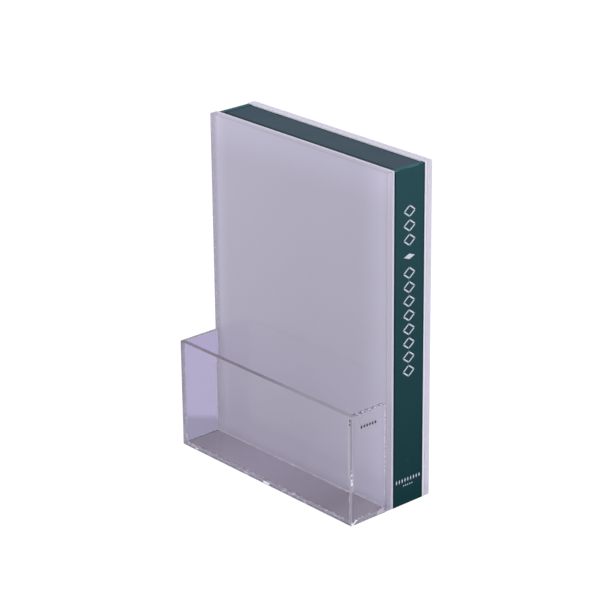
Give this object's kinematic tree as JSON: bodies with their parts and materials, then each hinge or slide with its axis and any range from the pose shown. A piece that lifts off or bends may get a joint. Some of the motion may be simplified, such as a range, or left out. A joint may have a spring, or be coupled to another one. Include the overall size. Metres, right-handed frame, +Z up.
{
  "type": "countertop leaflet stand",
  "caption": "Free-standing acrylic stand shaped like a standing album with a green spine, and a clear open pocket on its front cover for leaflets.",
  "frame": {"origin": "middle of the footprint, at the surface that the stand rests on", "axes": "+Z up, -Y towards the leaflet pocket at the front, +X towards the spine on the right"},
  "size_m": [0.22, 0.0904, 0.3],
  "materials": {
    "clear_acrylic": "clear cast acrylic with polished edges",
    "white_acrylic": "opaque white acrylic sheet",
    "green_lacquer": "satin dark green lacquer on acrylic board"
  },
  "bodies": {
    "root": {"front_clear_panel": "clear_acrylic", "front_white_sheet": "white_acrylic", "rear_clear_panel": "clear_acrylic", "rear_white_sheet": "white_acrylic", "spine_board": "green_lacquer", "left_board": "green_lacquer", "top_board": "green_lacquer", "bottom_board": "green_lacquer", "pocket_front": "clear_acrylic", "pocket_left_side": "clear_acrylic", "pocket_right_side": "clear_acrylic", "pocket_floor": "clear_acrylic"}
  },
  "joints": []
}
